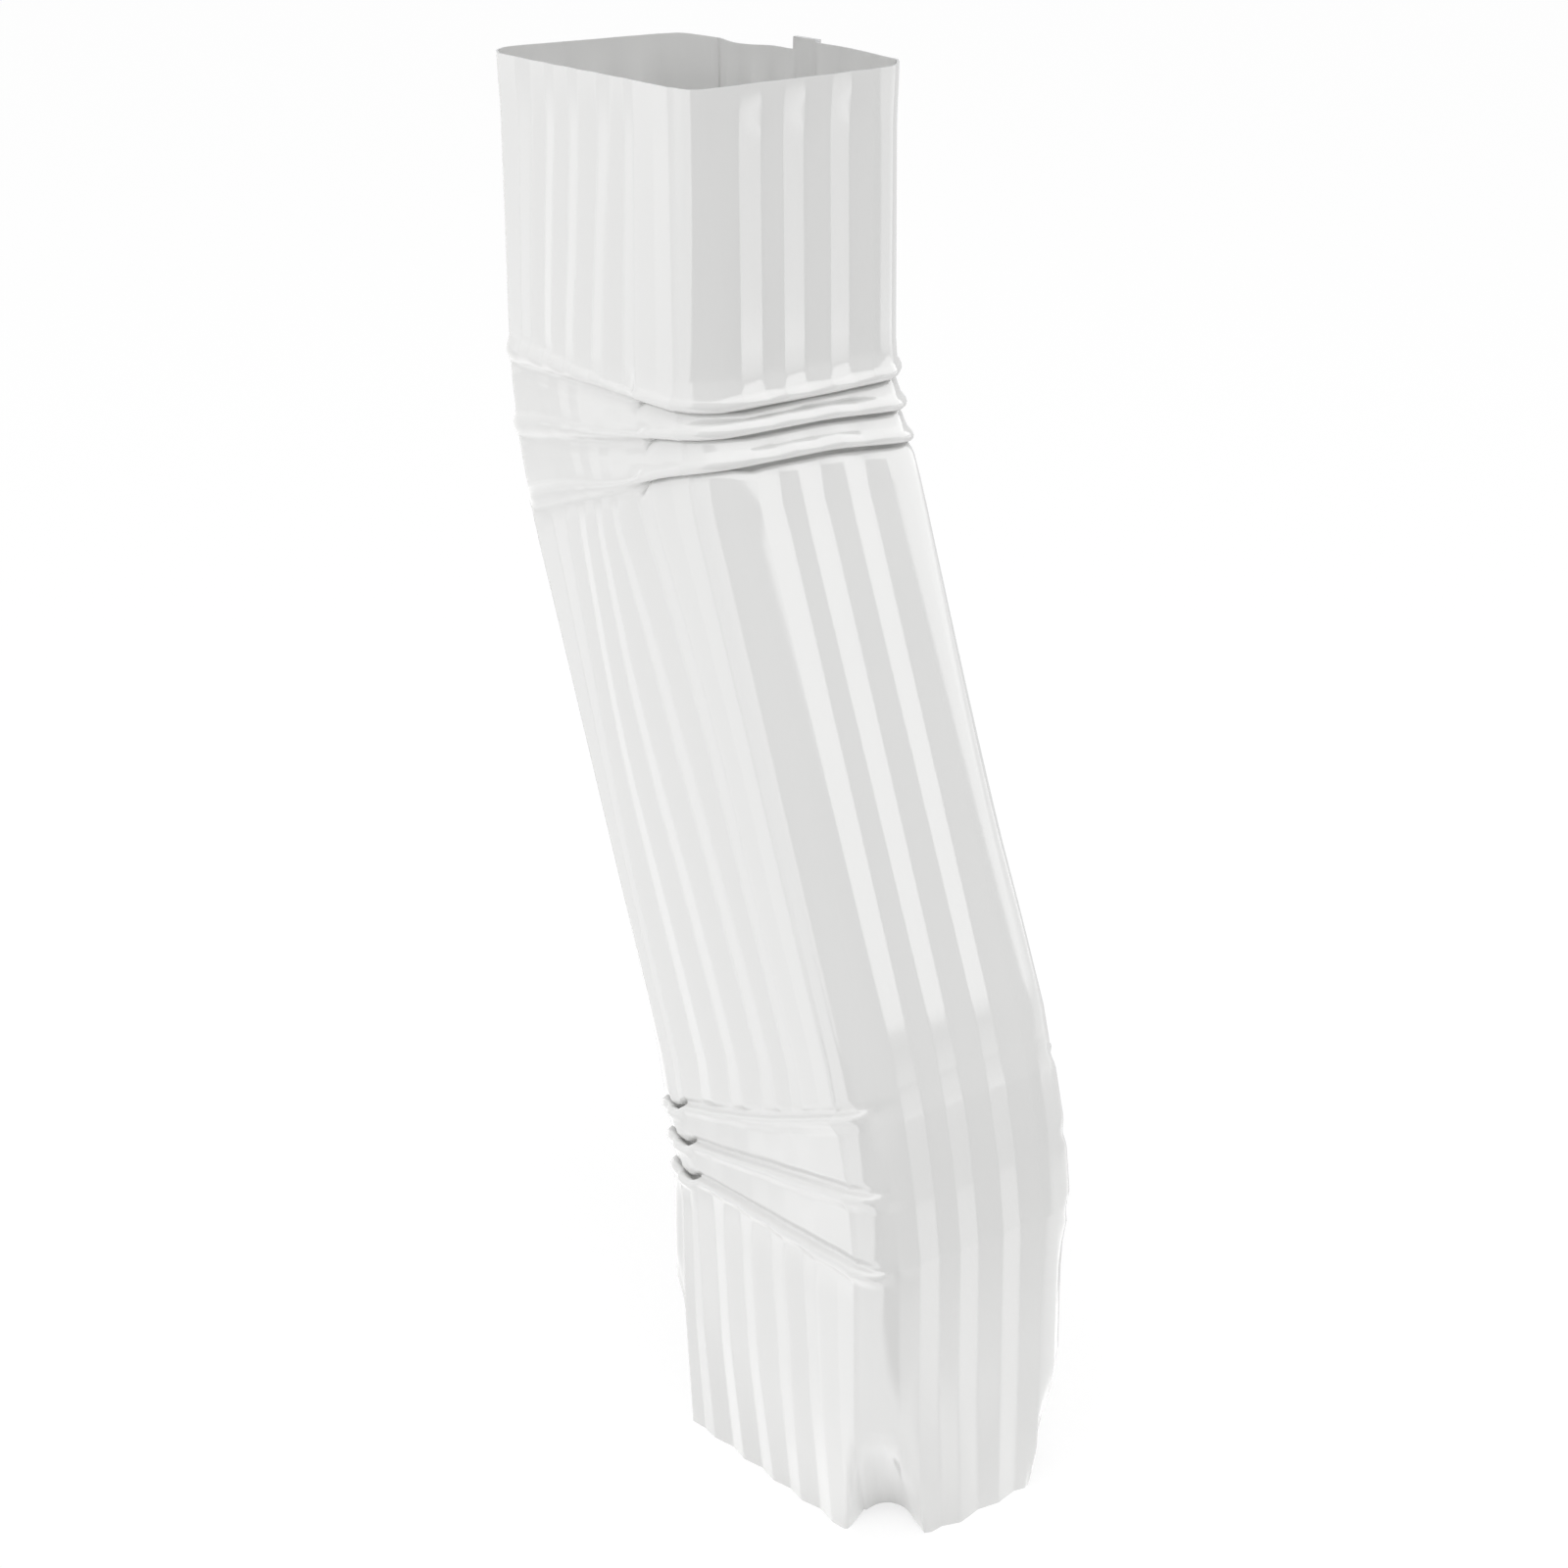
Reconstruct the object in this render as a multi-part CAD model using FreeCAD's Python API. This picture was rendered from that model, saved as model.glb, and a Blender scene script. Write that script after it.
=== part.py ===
import FreeCAD, Part
import math
import os

# A downspout offset elbow: one roll-formed, fluted and lock-seamed sheet, crimped into two bends.
# Millimetres. The origin is the middle of the outlet's edge, on the ground, with +Z up the pipe.
# +X is the way the outlet is set off from the inlet, and the seam runs down the +Y wide face.

Vector = FreeCAD.Vector

# Overall form: the two upright runs, measured to where their axes meet the slanted run's
offset = 63.8
inlet_run = 83.2
slant_height = 160.8
outlet_run = 87.0

# The pipe's section, measured over the crests of its flutes
wide = 82.5
narrow = 63.0
corner_radius = 10.5
corner_steps = 4
sheet = 0.5

# The flutes: flat flanks between crests and grooves, as many as fit between the corners
flute_pitch = 12.7
flute_depth = 1.3
flute_margin = 3.5
edge_groove_share = 0.6
corner_start = math.radians(14)
corner_end = math.radians(72)

# The lock seam: a flat strip of folded layers, with the sheet's two ends out of line at the mouth
seam_width = 9.6
seam_rise = 0.9
seam_bevel = 0.3
seam_tab = 0.6
edge_skew = 2.4

# The mouth, opened a little to take the pipe above, with its flutes pressed nearly flat
mouth_spread_x = 0.4
mouth_spread_y = 0.3
mouth_flare = 14.0
mouth_flute_share = 0.25

# Each bend: three crimps, where the sheet laps over a tuck on the inside of the bend
crimp_count = 3
crimp_pitch_outside = 19.3
crimp_pitch_inside = 7.6
crimp_drop_inside = 4.7
crimp_flute_share = 0.55
crimp_run_out = 8.0
lip_bulge = 1.3
lip_ahead_outside = 2.0
tuck_depth = 3.4
tuck_lift = 1.7
tuck_mouth = 1.8
tuck_bottom = 1.0
tuck_bottom_outside = 1.2
tuck_foot = 0.6
tuck_foot_outside = 4.0

# How far a tuck keeps its full depth along the wide faces, and what is left of it past there
tuck_full_reach = 12.0
tuck_fade_reach = 30.0
tuck_fan_share = 0.25

# The outlet, drawn in to enter the pipe below, with its corners pressed inwards
outlet_length = 31.0
outlet_squeeze = 1.5
outlet_rings = 6
outside_corner_press = 6.8
inside_corner_press = 1.2
press_softness = 4.0

# The sheet's inner side at a sharp fold: how short its step inwards may get against the fold's angle
fold_limit_round = 0.6
fold_limit_down = 0.5

upper_break = outlet_run + slant_height
mouth_height = upper_break + inlet_run
bend_angle = math.atan2(offset, slant_height)


def smooth(value, low, high):
    """Runs from 0 at low to 1 at high without a corner."""
    share = min(max((value - low) / (high - low), 0.0), 1.0)
    return share * share * (3 - 2 * share)


def unit(vector):
    """The vector at length one."""
    return Vector(vector).normalize()


class Spot:
    """One place on the pipe's section: its position, the way out of the sheet, and what lies there."""

    def __init__(self, x, y, out_x, out_y, groove=0.0, seam=0.0):
        self.x = x
        self.y = y
        self.out_x = out_x
        self.out_y = out_y
        self.groove = groove
        self.seam = seam
        self.turn = 0.0

    def from_inside(self, side):
        """Distance from the narrow face on the inside of the bend, which is at side +1 or -1."""
        return wide / 2 - side * self.x

    def tuck(self, side):
        """Share of the tuck's depth: all of it round the inside, little of it along the wide faces."""
        far = self.from_inside(side)
        along = 1 - (1 - tuck_fan_share) * smooth(far, tuck_full_reach, tuck_fade_reach)
        return along * (1 - smooth(far, wide - corner_radius, wide))

    def lip(self, side):
        """Share of the lip's bulge, which runs out round the outside corner."""
        return 1 - smooth(self.from_inside(side), wide - corner_radius, wide)

    def outside(self, side):
        """1 on the narrow face on the outside of the bend, where the flutes run through."""
        return smooth(self.from_inside(side), wide - corner_radius, wide)


def flute_line(flat_half):
    """Positions across one face from crest to groove to crest, with the groove's share of the depth."""
    gaps = int((2 * flat_half - 2 * flute_margin) / flute_pitch)
    return [((step - gaps) * flute_pitch / 2, step % 2) for step in range(2 * gaps + 1)]


def corner_spots(sign_x, sign_y):
    """A rounded corner from its narrow face to its wide face."""
    spots = []
    for step in range(corner_steps + 1):
        angle = corner_start + (corner_end - corner_start) * step / corner_steps
        out_x, out_y = sign_x * math.cos(angle), sign_y * math.sin(angle)
        x = sign_x * (wide / 2 - corner_radius) + corner_radius * out_x
        y = sign_y * (narrow / 2 - corner_radius) + corner_radius * out_y
        spots.append(Spot(x, y, out_x, out_y))
    return spots


def wide_face(sign_y):
    """A wide face from -X to +X, with a shallow groove between its last crest and each corner."""
    flat_half = wide / 2 - corner_radius * (1 - math.cos(corner_end))
    line = flute_line(flat_half)
    edge = (flat_half + line[-1][0]) / 2
    line = [(-edge, edge_groove_share)] + line + [(edge, edge_groove_share)]
    return [Spot(x, sign_y * narrow / 2, 0, sign_y, groove) for x, groove in line]


def narrow_face(sign_x):
    """A narrow face from -Y to +Y."""
    flat_half = narrow / 2 - corner_radius * (1 - math.sin(corner_start))
    return [Spot(sign_x * wide / 2, y, sign_x, 0, groove) for y, groove in flute_line(flat_half)]


def groove_between(spots, x):
    """The groove's share of the depth at x, between the two spots it lies between."""
    for here, after in zip(spots, spots[1:]):
        if here.x <= x <= after.x:
            return here.groove + (after.groove - here.groove) * (x - here.x) / (after.x - here.x)
    return 0.0


def section():
    """The whole section, clockwise from above: from the seam's +X edge round to the seam again."""
    back = wide_face(1)
    half = seam_width / 2
    level = narrow / 2
    spots = [Spot(half, level, 0, 1, groove_between(back, half))]
    spots += [spot for spot in back if spot.x > half]
    spots += list(reversed(corner_spots(1, 1)))
    spots += list(reversed(narrow_face(1)))
    spots += corner_spots(1, -1)
    spots += list(reversed(wide_face(-1)))
    spots += list(reversed(corner_spots(-1, -1)))
    spots += narrow_face(-1)
    spots += corner_spots(-1, 1)
    spots += [spot for spot in back if spot.x < -half]
    spots += [Spot(-half, level, 0, 1, groove_between(back, -half))]
    travelled = 0.0
    for here, after in zip(spots, spots[1:]):
        travelled += math.hypot(after.x - here.x, after.y - here.y)
        after.turn = travelled
    for spot in spots:
        spot.turn /= travelled
    spots += [Spot(-half + seam_bevel, level, 0, 1, seam=1), Spot(half - seam_bevel, level, 0, 1, seam=1)]
    return spots


class Ring:
    """A ring round the pipe: the middles of its -X and +X faces, and how the sheet is pushed there."""

    def __init__(self, left, right, side=0, bulge=0.0, tuck=0.0, lift=0.0, flute=1.0, spread_y=0.0):
        self.left = left
        self.right = right
        self.side = side
        self.bulge = bulge
        self.tuck = tuck
        self.lift = lift
        self.flute = flute
        self.spread_y = spread_y

    def mirrored(self, centre):
        """The same ring turned half round about the middle of the slanted run."""
        left, right = centre * 2 - self.right, centre * 2 - self.left
        return Ring(left, right, -self.side, self.bulge, self.tuck, -self.lift, self.flute, self.spread_y)

    def point(self, spot):
        """Where the outer surface passes at one spot of the section."""
        across = self.right - self.left
        run = unit(across)
        rise = Vector(-run.z, 0, run.x)
        out = run * spot.out_x + Vector(0, spot.out_y, 0)
        flute = self.flute
        tuck = push = 0.0
        if self.side:
            flute += (1 - self.flute) * spot.outside(self.side)
            tuck = spot.tuck(self.side)
            push = self.bulge * spot.lip(self.side) - self.tuck * tuck
        push += seam_rise * spot.seam - flute_depth * flute * spot.groove
        base = self.left + across * (spot.x / wide + 0.5)
        side_y = spot.y * (1 + self.spread_y / (narrow / 2))
        return base + Vector(0, side_y, 0) + out * push + rise * (self.lift * tuck)


def chain_point(kink, before, after, distance):
    """A point a signed distance down a kinked line from its kink."""
    return kink + (before if distance < 0 else after) * distance


def bend_kinks():
    """The ways down the upper bend, and the kinks of its outside and inside lines."""
    turn = bend_angle / crimp_count
    ways = [Vector(math.sin(turn * n), 0, -math.cos(turn * n)) for n in range(crimp_count + 1)]
    shift = wide / 2 * math.tan(bend_angle / 2)
    outside_corner = Vector(-offset - wide / 2, 0, upper_break - shift)
    inside_corner = Vector(-offset + wide / 2, 0, upper_break + shift)
    chords = sum(math.cos(turn * n - bend_angle / 2) for n in range(1, crimp_count))
    reach = crimp_pitch_outside * chords / (2 * math.cos(bend_angle / 2))
    outside = [outside_corner - ways[0] * reach]
    for way in ways[1:-1]:
        outside.append(outside[-1] + way * crimp_pitch_outside)
    first = inside_corner - ways[0] * crimp_drop_inside
    last = inside_corner + ways[-1] * (crimp_pitch_inside * (crimp_count - 1) - crimp_drop_inside)
    inside = [first + (last - first) * (n / (crimp_count - 1)) for n in range(crimp_count)]
    return ways, outside, inside


def crimp_rings():
    """The rings of the upper bend, from the end of the upper run to the start of the slanted one."""
    ways, outside, inside = bend_kinks()
    half = tuck_mouth / 2
    inner = tuck_bottom / 2
    run_out = ways[0] * crimp_run_out
    rings = [Ring(outside[0] - run_out, inside[0] - run_out, 1)]
    for n in range(crimp_count):
        folds = (
            (-lip_ahead_outside, -half, lip_bulge, 0.0, 0.0),
            (0.0, -inner, 0.0, tuck_depth, tuck_lift),
            (tuck_bottom_outside, inner, 0.0, tuck_depth, tuck_lift),
            (tuck_foot_outside, half, 0.0, tuck_foot, 0.0),
        )
        for down_outside, down_inside, bulge, tuck, lift in folds:
            left = chain_point(outside[n], ways[n], ways[n + 1], down_outside)
            right = chain_point(inside[n], ways[n], ways[n + 1], down_inside)
            rings.append(Ring(left, right, 1, bulge, tuck, lift, crimp_flute_share))
    run_out = ways[-1] * crimp_run_out
    rings.append(Ring(outside[-1] + run_out, inside[-1] + run_out, 1))
    return rings


def level_ring(middle_x, height, spread_x=0.0, spread_y=0.0, flute=1.0):
    """A ring of one of the upright runs."""
    half = wide / 2 + spread_x
    left, right = Vector(middle_x - half, 0, height), Vector(middle_x + half, 0, height)
    return Ring(left, right, flute=flute, spread_y=spread_y)


def soft_past(distance):
    """The distance past a plane, eased in over the softness on both sides of it."""
    if distance <= -press_softness:
        return 0.0
    if distance >= press_softness:
        return distance
    return (distance + press_softness) ** 2 / (4 * press_softness)


def pressed(point):
    """Presses the outlet's corners in: what lies past a slanted plane goes to its mirror image."""
    slope = math.sqrt(0.5)
    corner = (wide / 2 + narrow / 2 - 2 * corner_radius) * slope + corner_radius
    for sign_x, depth in ((1, outside_corner_press), (-1, inside_corner_press)):
        tilt = math.atan2(depth, outlet_length)
        for sign_y in (1, -1):
            way = Vector(sign_x * slope, sign_y * slope, 0)
            distance = point.dot(way) - corner + depth * (1 - point.z / outlet_length)
            past = soft_past(distance * math.cos(tilt))
            normal = way * math.cos(tilt) - Vector(0, 0, math.sin(tilt))
            point = point - normal * (2 * past)
    return point


def outer_grid(spots):
    """Rings of points on the outer surface, from the mouth down to the outlet's edge."""
    centre = Vector(-offset / 2, 0, outlet_run + slant_height / 2)
    upper = crimp_rings()
    lower = [ring.mirrored(centre) for ring in reversed(upper)]
    rings = [level_ring(-offset, mouth_height, mouth_spread_x, mouth_spread_y, mouth_flute_share)]
    rings.append(level_ring(-offset, mouth_height - mouth_flare))
    rings += upper + lower
    for n in range(outlet_rings + 1):
        share = n / outlet_rings
        rings.append(level_ring(0, outlet_length * (1 - share), 0, -outlet_squeeze * share))
    grid = [[ring.point(spot) for spot in spots] for ring in rings]
    for spot, point in zip(spots, grid[0]):
        point.z += edge_skew / 2 + seam_tab if spot.seam else edge_skew * (0.5 - spot.turn)
    for row in grid[-outlet_rings:]:
        row[:] = [pressed(point) for point in row]
    return grid


def sheet_step(grid, row, column):
    """The step from the inner to the outer surface at one point, for a sheet one thick."""
    ring = grid[row]
    before = unit(ring[column] - ring[column - 1])
    after = unit(ring[(column + 1) % len(ring)] - ring[column])
    along = unit(before + after)
    stretch = 1 / max(math.cos(before.getAngle(after) / 2), fold_limit_round)
    line = [grid[r][column] for r in range(max(row - 1, 0), min(row + 2, len(grid)))]
    normals = [unit(along.cross(under - over)) for over, under in zip(line, line[1:])]
    share = 1 + normals[0].dot(normals[-1])
    return (normals[0] + normals[-1]) * (stretch / max(share, fold_limit_down))


def inner_grid(spots, grid):
    """The inner surface: the outer one without the seam, a sheet's thickness further in."""
    plain = [[point for spot, point in zip(spots, row) if not spot.seam] for row in grid]
    rows = []
    for r, row in enumerate(plain):
        inner = [point - sheet_step(plain, r, c) * sheet for c, point in enumerate(row)]
        for spot, point in zip(spots, grid[r]):
            if spot.seam:
                edge = inner[len(row) - 1] if spot.x < 0 else inner[0]
                inner.append(Vector(point.x, edge.y, point.z))
        rows.append(inner)
    return rows


def elbow():
    """The whole elbow: down the outside, across the outlet's edge, up the inside and across the mouth."""
    spots = section()
    outer = outer_grid(spots)
    inner = inner_grid(spots, outer)
    wires = [Part.makePolygon(row + row[:1]) for row in outer + inner[::-1]]
    return Part.makeLoft(wires, True, True, True)


os.makedirs("parts", exist_ok=True)
body = elbow()
print("valid", body.isValid(), body.ShapeType, "faces", len(body.Faces))
print("volume", round(body.Volume), "area", round(body.Area), "box", body.BoundBox)
body.exportStep("parts/offset_elbow.step")
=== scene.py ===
import math

import bmesh
import bpy
from bpy.props import FloatProperty, FloatVectorProperty, PointerProperty
from mathutils import Matrix, Vector


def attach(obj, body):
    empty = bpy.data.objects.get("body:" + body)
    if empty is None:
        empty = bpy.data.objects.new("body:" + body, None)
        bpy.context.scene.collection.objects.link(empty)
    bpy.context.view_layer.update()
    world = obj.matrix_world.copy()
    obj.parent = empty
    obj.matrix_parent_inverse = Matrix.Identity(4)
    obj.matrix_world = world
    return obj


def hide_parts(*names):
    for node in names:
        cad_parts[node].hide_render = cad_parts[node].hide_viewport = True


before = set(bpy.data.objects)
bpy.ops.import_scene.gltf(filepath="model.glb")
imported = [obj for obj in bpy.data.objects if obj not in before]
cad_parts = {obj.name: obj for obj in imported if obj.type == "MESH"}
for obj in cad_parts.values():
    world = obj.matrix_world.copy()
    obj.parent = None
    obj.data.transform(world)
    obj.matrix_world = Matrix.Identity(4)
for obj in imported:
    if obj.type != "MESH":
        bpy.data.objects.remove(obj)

bl_info = {
    "name": "Downspout offset elbow",
    "version": (1, 0, 0),
    "blender": (4, 5, 0),
    "location": "3D View > Sidebar > Elbow",
    "description": "A fluted, enamelled sheet downspout elbow with its studio",
    "category": "Object",
}

# Shapes are worked out in millimetres, and scaled to metres when the sheet is finished
MM = 0.001
NODE = "offset_elbow"
SHEET_NAME = "elbow_sheet"


# What a user may change


def length(name, description, value):
    """A size in metres, given here in millimetres."""
    return FloatProperty(name=name, description=description, default=value * MM, unit="LENGTH", precision=4)


def number(name, description, value, **limits):
    """A brightness or another plain number."""
    return FloatProperty(name=name, description=description, default=value, **limits)


def colour(name, description, text):
    """A colour given as sRGB hex."""
    return FloatVectorProperty(
        name=name, description=description, subtype="COLOR", size=3, min=0, max=1, default=linear(text)
    )


def linear(text):
    """An sRGB hex colour as linear red, green and blue."""
    parts = [int(text[n:n + 2], 16) / 255 for n in (0, 2, 4)]
    return tuple(c / 12.92 if c <= 0.04045 else ((c + 0.055) / 1.055) ** 2.4 for c in parts)


class ElbowSizes(bpy.types.PropertyGroup):
    """The pipe, its flutes and its seam."""

    offset: length("Offset", "How far the outlet is set off sideways from the inlet", 63.8)
    inlet_run: length("Inlet run", "Height of the mouth over the upper bend", 83.2)
    slant_height: length("Slant height", "Height between the two bends", 160.8)
    outlet_run: length("Outlet run", "Height of the lower bend over the outlet", 87.0)
    wide: length("Wide side", "Width over the wide faces' ends", 82.5)
    narrow: length("Narrow side", "Depth over the crests of the wide faces", 63.0)
    corner_radius: length("Corner radius", "Radius of the pipe's four corners", 10.5)
    sheet: length("Sheet", "Thickness of the sheet", 0.5)
    flute_pitch: length("Flute pitch", "Distance from one flute's crest to the next", 12.7)
    flute_depth: length("Flute depth", "Depth of the grooves below the crests", 1.3)
    seam_width: length("Seam width", "Width of the lock seam's strip", 9.6)
    seam_rise: length("Seam rise", "How far the lock seam stands out of its face", 0.9)
    outlet_length: length("Outlet length", "Length of the outlet's drawn-in end", 31.0)
    corner_press: length("Corner press", "How far the outlet's corners on +X are pressed in", 5.7)


class CrimpSizes(bpy.types.PropertyGroup):
    """The crimps that make the two bends."""

    pitch_outside: length("Outside pitch", "Distance between crimps on the outside of the bend", 19.3)
    pitch_inside: length("Inside pitch", "Distance between crimps on the inside of the bend", 7.6)
    drop_inside: length("Inside start", "First crimp's distance above the bend's inner corner", 4.7)
    ridge_height: length("Ridge height", "Height of a crimp's ridge at its outer end", 1.9)
    ridge_width: length("Ridge width", "Half width of a crimp's ridge at its outer end", 2.7)


class Finish(bpy.types.PropertyGroup):
    """The enamel and the bare cut edge."""

    enamel: colour("Enamel", "Colour of the baked enamel", "E9E9E8")
    roughness: number("Roughness", "Roughness of the enamel", 0.1, min=0, max=1)
    bare: colour("Cut edge", "Colour of the bare aluminium at the cut edges", "DCDDDE")


class Studio(bpy.types.PropertyGroup):
    """The light round the object."""

    ambient: number("Ambient", "Strength of the plain light from all round", 0.76)
    left_panel: number("Left panel", "Brightness of the left panel in the gloss", 2.9)
    right_panel: number("Right panel", "Brightness of the right panel in the gloss", 3.6)
    gap: number("Gap", "Brightness of the gap between the panels", 0.55)
    low_gap: number("Low gap", "Brightness of the gap where the table shows it", 0.1)
    table: number("Table", "How white the camera sees the table", 1.1)
    lamp: number("Lamp", "Power of the overhead lamp", 4.5, unit="POWER")


def settings(group):
    """A property group's lengths in millimetres and its other values as they are, by name."""
    values = {}
    for name in group.__annotations__:
        value = getattr(group, name)
        is_length = group.bl_rna.properties[name].unit == "LENGTH" if isinstance(value, float) else False
        values[name] = value / MM if is_length else value
    return values


# Small helpers


def smooth(value, low, high):
    """Runs from 0 at low to 1 at high without a corner."""
    share = min(max((value - low) / (high - low), 0.0), 1.0)
    return share * share * (3 - 2 * share)


def bell(distance, width):
    """1 in the middle, and nearly nothing two widths away."""
    return math.exp(-((distance / width) ** 2))


def mix(low, high, share):
    """The value that lies at a share of the way from low to high."""
    return low + (high - low) * share


def read_table(table, place):
    """A table's values at a place, on a smooth curve through its rows."""
    place = min(max(place, table[0][0]), table[-1][0])
    at = next(n for n in range(1, len(table)) if place <= table[n][0])
    rows = [table[max(at - 2, 0)], table[at - 1], table[at], table[min(at + 1, len(table) - 1)]]
    span = rows[2][0] - rows[1][0]
    t = (place - rows[1][0]) / span
    found = []
    for before, start, end, after in zip(*(row[1:] for row in rows)):
        slope_in = (end - before) / (rows[2][0] - rows[0][0]) * span
        slope_out = (after - start) / (rows[3][0] - rows[1][0]) * span
        found.append(
            (2 * t**3 - 3 * t**2 + 1) * start
            + (t**3 - 2 * t**2 + t) * slope_in
            + (3 * t**2 - 2 * t**3) * end
            + (t**3 - t**2) * slope_out
        )
    return found


# The pressed and crimped sheet

# The front face's five crests across the run, by distance down the pipe: they bunch near the upper bend
CREST_LINES = (
    (0, -19.5, -10.0, -0.7, 12.0, 20.5),
    (20, -20.8, -11.8, -2.0, 10.0, 20.0),
    (40, -22.3, -13.6, -3.6, 7.6, 19.4),
    (66, -23.5, -15.0, -6.3, 5.4, 18.5),
    (97, -19.4, -10.8, -3.8, 3.0, 17.5),
    (115, -20.6, -12.6, -4.6, 5.0, 19.4),
    (140, -23.3, -15.5, -5.7, 7.7, 21.0),
    (165, -25.6, -16.6, -4.9, 9.1, 22.0),
    (190, -27.1, -15.6, -3.1, 10.4, 21.5),
    (237, -27.0, -14.6, -1.8, 11.8, 22.0),
    (277, -27.4, -16.6, -5.5, 7.0, 19.5),
    (300, -26.4, -15.5, -4.4, 8.8, 20.5),
    (344, -24.0, -12.0, 0.0, 10.9, 23.0),
)

# How far the wide faces bow outwards in their middle, by distance down the pipe
BOW = (
    (0, 0.0), (15, 0.4), (50, 1.3), (75, 1.7), (100, 1.7), (130, 1.4), (170, 1.1), (235, 1.1), (320, 0.9),
    (344, 0.4),
)
BACK_BOW = 0.5
# How far the front face's lines drift towards +X for each millimetre of bow
BOW_DRIFT = 1.31

# How far three of the corners stand out from their round, by distance down the pipe: front left, back
# right and front right
CORNER_LINES = (
    (0, 0.0, -0.35, 1.9),
    (14, 0.0, -0.4, 1.5),
    (36, 0.0, -0.5, 0.5),
    (60, 0.0, -0.6, 0.0),
    (78, 0.0, -0.3, 0.0),
    (95, -0.2, 0.2, 0.0),
    (104, -0.25, 1.0, 0.0),
    (125, -0.25, 0.75, 0.0),
    (155, 0.0, 0.25, 0.0),
    (190, 0.2, 0.1, 0.0),
    (212, 0.4, 0.6, 0.0),
    (237, 1.1, 0.9, 0.0),
    (258, 1.3, 1.5, 0.0),
    (270, 1.5, 0.9, 0.0),
    (284, 2.0, -0.5, 0.0),
    (302, 2.0, -2.0, 0.0),
    (316, 1.2, -1.3, 0.0),
    (344, 0.7, 0.0, 0.0),
)

# The rim's height over its mean, by how far round it is from the seam, clockwise from above
RIM_HEIGHTS = (
    (0.0, 1.2), (0.05, 1.1), (0.1, 0.5), (0.2, 0.1), (0.3, 0.1), (0.35, 0.0), (0.42, 0.15), (0.5, 0.2),
    (0.6, 0.35), (0.65, 0.6), (0.75, 0.2), (0.85, -0.35), (0.875, -1.1), (0.895, -1.55), (0.915, -2.0),
    (0.94, -1.75), (0.97, -1.2), (1.0, -1.15),
)
SEAM_RIM = 1.8

# The grooves on the back face, from its middle to its corner: place, and share of the flute's depth
BACK_LINES = ((6.35, 1.0), (12.7, 0.0), (19.05, 1.0), (25.4, 0.0), (29.7, 0.6))

# The right face's crests and grooves, from front to back
RIGHT_LINES = ((-18.8, 0.0), (-11.4, 1.0), (-6.7, 0.0), (0.3, 1.0), (6.5, 0.0), (13.0, 1.0), (19.05, 0.0))

# Where the columns stand between a crest and a groove: close together at both, so the flanks stay flat
FLANK_STEPS = (0.0, 0.07, 0.16, 0.5, 0.84, 0.93)
FOLD_ROUNDING = 0.035
EDGE_GROOVE = 0.6
RIGHT_EDGE_GROOVE = 0.2
CORNER_START = math.radians(14)
CORNER_END = math.radians(72)
CORNER_STEPS = 10
SEAM_BEVEL = 0.3
# Across the seam's strip: place in half widths and share of its rise, with the fold's line a little sunk
SEAM_STEPS = ((-1, 1.0), (-0.4, 1.0), (0.25, 1.0), (0.32, 0.72), (0.39, 1.0), (1, 1.0))

# A crimp's lap where it is deepest, from the lip down into the fold and out to the next band:
# distance down the pipe, distance out, and share of the flutes
LAP = (
    (-3.5, 0.30, 0.7), (-2.6, 0.85, 0.65), (-1.8, 1.25, 0.5), (-1.0, 1.35, 0.35), (-0.35, 1.05, 0.25),
    (0.05, 0.45, 0.2), (0.0, -0.2, 0.15), (-0.45, -1.0, 0.15), (-1.0, -1.9, 0.15), (-1.35, -2.9, 0.15),
    (-1.1, -3.5, 0.2), (-0.6, -3.4, 0.2), (-0.15, -2.8, 0.25), (0.2, -2.0, 0.3), (0.42, -1.2, 0.4),
    (0.75, -0.6, 0.5), (1.45, -0.25, 0.6), (2.8, -0.05, 0.65),
)

# How far each upper crimp's fold stands open along the inside face, from front to back
FOLD_OPENINGS = (
    ((-32, -1.1), (-23, -0.7), (-17, 0.8), (-5, 0.3), (5, 0.0), (15, 0.6), (22, 0.4), (26, 0.0), (32, 0.0)),
    ((-32, -1.1), (-25, -0.7), (-17, 0.8), (0, 0.8), (20, 0.8), (26, 0.1), (32, 0.0)),
    ((-32, -1.0), (-24, -0.6), (-19, 1.7), (-15, 1.1), (0, 1.2), (20, 0.9), (28, 0.5), (32, 0.3)),
)
OPENING = 0.45

# The same crimp where the lap has opened into a ridge and a valley beside it, in ridge widths and heights
RIDGE = ((-2.3, 0.0), (-1.85, 0.45), (-1.35, 0.93), (-0.85, 0.97), (-0.4, 0.6), (0.0, 0.12))
VALLEY = (
    (0.35, 0.3), (0.7, 0.65), (1.05, 0.9), (1.4, 1.0), (1.75, 1.0), (2.1, 0.93),
    (2.5, 0.8), (2.9, 0.62), (3.4, 0.42), (4.0, 0.22), (4.6, 0.08), (5.4, 0.0),
)
SOFT_RIDGE = ((-3.3, 0.0), (-2.5, 0.27), (-1.7, 0.68), (-1.0, 0.97), (-0.5, 0.92), (0.0, 0.4))

# How far round from the inside face each crimp's lap ends in its pit, and where its ridge ends
UPPER_PITS = (27.4, 26.2, 31.0)
LOWER_PITS = (19.2, 19.8, 18.5)
UPPER_TIPS = (82.0, 82.0, 80.5)
LOWER_TIPS = (87.8, 88.2, 87.6)

# How much of the flutes is left in the flattened bands between crimps on the wide faces
BAND_FLUTE = 0.12

# How far each crimp bows up in the middle of the wide face, and how far the upper bend's crimps are lifted
# on the inside face where it meets the front
CREASE_BOWS = (0.9, 1.4, 2.0)
FRONT_LIFTS = (-0.5, 1.4, 2.0)

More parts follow.
